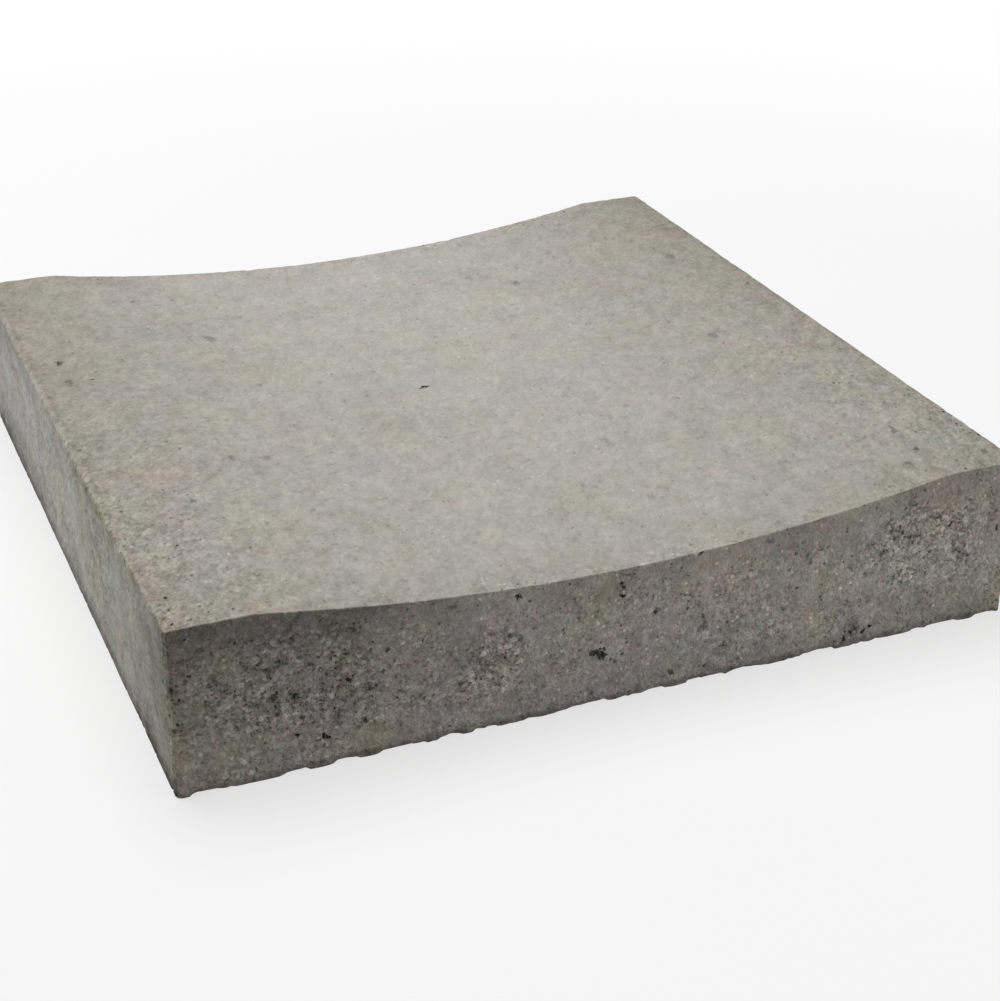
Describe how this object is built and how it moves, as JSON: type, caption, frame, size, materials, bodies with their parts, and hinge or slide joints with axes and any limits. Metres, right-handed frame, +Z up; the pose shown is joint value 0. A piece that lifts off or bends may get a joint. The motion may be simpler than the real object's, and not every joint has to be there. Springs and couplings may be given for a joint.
{
  "type": "concrete gutter slab",
  "caption": "Square pressed-concrete slab with a shallow dished channel between flat side lands, laid end to end as a surface water gutter.",
  "frame": {"origin": "centre of the underside, the face that lies on the bedding", "axes": "+X across the channel, +Y along the channel, +Z up out of the dish"},
  "size_m": [0.35, 0.35, 0.07],
  "materials": {
    "concrete": "matte"
  },
  "bodies": {
    "root": {"gutter_slab": "concrete"}
  },
  "joints": []
}
